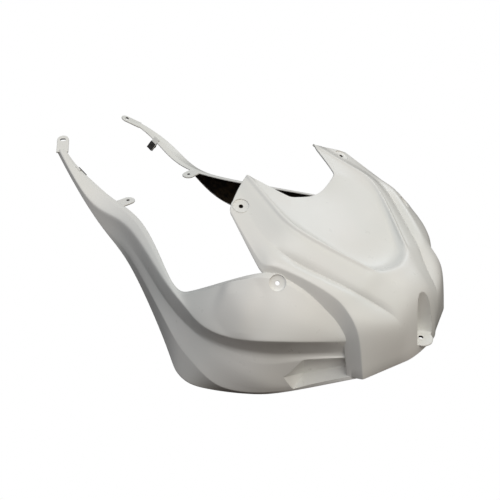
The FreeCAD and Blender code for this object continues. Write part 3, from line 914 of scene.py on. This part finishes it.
# Stage, light and camera
CAMERA_AT = Vector((0.26862, -0.59047, 0.52920))
CAMERA_BACK = Vector((0.5800, -0.6060, 0.5446))
CAMERA_LENS = 46.01
camera_data = bpy.data.cameras.new("camera")
camera_data.lens = CAMERA_LENS
camera = bpy.data.objects.new("camera", camera_data)
camera.location = CAMERA_AT
camera.rotation_mode = "QUATERNION"
camera.rotation_quaternion = (-CAMERA_BACK).to_track_quat("-Z", "Y")
bpy.context.scene.collection.objects.link(camera)
bpy.context.scene.camera = camera
bpy.context.scene.view_settings.view_transform = "Standard"

# Soft lights of the studio: direction, sharpness, strength and tint.
NEUTRAL = np.array([1, 1, 1])
WARM = np.array([1, 0.98, 0.82])
AMBER = np.array([1, 0.6, 0.4])
COOL = np.array([0.9, 1, 1.1])
SKY = ((0, 0, 1), 6, 0.1, COOL)
FRONT_FILL = ((1, 0, 0.6), 3, 0.15, AMBER)
FAR_FILL = ((0, 1, 0.6), 3, 0.3, NEUTRAL)
NEAR_FILL = ((0, -1, 0.6), 3, 0.1, AMBER)
LEFT_PANEL = ((0.5, 0.5, 0.8), 6, 0.1, AMBER)
RIGHT_PANEL = ((0.5, -0.5, 0.8), 6, 0.75, NEUTRAL)
REAR_PANEL = ((-0.5, -0.5, 0.8), 6, 0.8, COOL)
KEY = ((0.4, -0.3, 0.9), 40, 3.1, NEUTRAL)
SECOND_KEY = ((0.4, 0.3, 0.9), 40, 2.1, WARM)
FAR_WINDOW = ((0, 0.8, 0.6), 30, 2.1, COOL)
FRONT_LAMP = ((0.8, 0, 0.6), 30, 1.7, WARM)
TOP_SPOT = ((0.45, -0.05, 0.87), 80, 1.7, NEUTRAL)
NEAR_SPOT = ((0.15, -0.35, 0.92), 80, 1.4, NEUTRAL)
FILLS = (SKY, FRONT_FILL, FAR_FILL, NEAR_FILL, LEFT_PANEL, RIGHT_PANEL, REAR_PANEL)
LAMPS = (KEY, SECOND_KEY, FAR_WINDOW, FRONT_LAMP, TOP_SPOT, NEAR_SPOT)
FLOOR_REACH = 4000.0
FLOOR_GAP = 1.0


def soft_light(tree, where, direction, sharpness):
    """Strength of one soft light in a looked-at direction: the cosine between the two, to a power."""
    cosine = tree.nodes.new("ShaderNodeVectorMath")
    cosine.operation = "DOT_PRODUCT"
    cosine.inputs[1].default_value = unit(np.array(direction, float))
    tree.links.new(where, cosine.inputs[0])
    front = tree.nodes.new("ShaderNodeMath")
    front.operation = "MAXIMUM"
    front.inputs[1].default_value = 0
    tree.links.new(cosine.outputs["Value"], front.inputs[0])
    power = tree.nodes.new("ShaderNodeMath")
    power.operation = "POWER"
    power.inputs[1].default_value = sharpness
    tree.links.new(front.outputs["Value"], power.inputs[0])
    return power.outputs["Value"]


def studio_world():
    """White to the camera, and the sum of the soft lights to everything else."""
    world = bpy.data.worlds.new("studio")
    bpy.context.scene.world = world
    world.use_nodes = True
    tree = world.node_tree
    tree.nodes.clear()
    where = tree.nodes.new("ShaderNodeTexCoord").outputs["Generated"]
    total = None
    for direction, sharpness, strength, tint in FILLS + LAMPS:
        lamp = tree.nodes.new("ShaderNodeVectorMath")
        lamp.operation = "MULTIPLY_ADD"
        lamp.inputs[1].default_value = tint * strength
        lamp.inputs[2].default_value = (0, 0, 0)
        tree.links.new(soft_light(tree, where, direction, sharpness), lamp.inputs[0])
        if total:
            tree.links.new(total, lamp.inputs[2])
        total = lamp.outputs["Vector"]
    light = tree.nodes.new("ShaderNodeBackground")
    tree.links.new(total, light.inputs["Color"])
    white = tree.nodes.new("ShaderNodeBackground")
    white.inputs["Color"].default_value = (1, 1, 1, 1)
    seen = tree.nodes.new("ShaderNodeLightPath")
    mix = tree.nodes.new("ShaderNodeMixShader")
    tree.links.new(seen.outputs["Is Camera Ray"], mix.inputs["Fac"])
    tree.links.new(light.outputs["Background"], mix.inputs[1])
    tree.links.new(white.outputs["Background"], mix.inputs[2])
    out = tree.nodes.new("ShaderNodeOutputWorld")
    tree.links.new(mix.outputs["Shader"], out.inputs["Surface"])


def white_floor():
    """Wide white sheet under the lowest edge. It is clear from below and seen by the camera only, so it
    throws no light."""
    side = FLOOR_REACH * MM
    low = cad_box[0].z - FLOOR_GAP * MM
    corners = np.array([(-side, -side, low), (side, -side, low), (side, side, low), (-side, side, low)])
    mesh = bpy.data.meshes.new("floor")
    mesh.from_pydata(corners.tolist(), [], [(0, 1, 2, 3)])
    floor = bpy.data.objects.new("floor", mesh)
    bpy.context.scene.collection.objects.link(floor)
    material = bpy.data.materials.new("white_floor")
    material.use_nodes = True
    tree = material.node_tree
    tree.nodes.clear()
    white = tree.nodes.new("ShaderNodeEmission")
    white.inputs["Color"].default_value = (1, 1, 1, 1)
    clear = tree.nodes.new("ShaderNodeBsdfTransparent")
    facing = tree.nodes.new("ShaderNodeNewGeometry")
    mix = tree.nodes.new("ShaderNodeMixShader")
    tree.links.new(facing.outputs["Backfacing"], mix.inputs["Fac"])
    tree.links.new(white.outputs["Emission"], mix.inputs[1])
    tree.links.new(clear.outputs["BSDF"], mix.inputs[2])
    out = tree.nodes.new("ShaderNodeOutputMaterial")
    tree.links.new(mix.outputs["Shader"], out.inputs["Surface"])
    material.cycles.emission_sampling = "NONE"
    mesh.materials.append(material)
    floor.visible_diffuse = floor.visible_glossy = floor.visible_shadow = False
    floor.visible_transmission = False


studio_world()
white_floor()
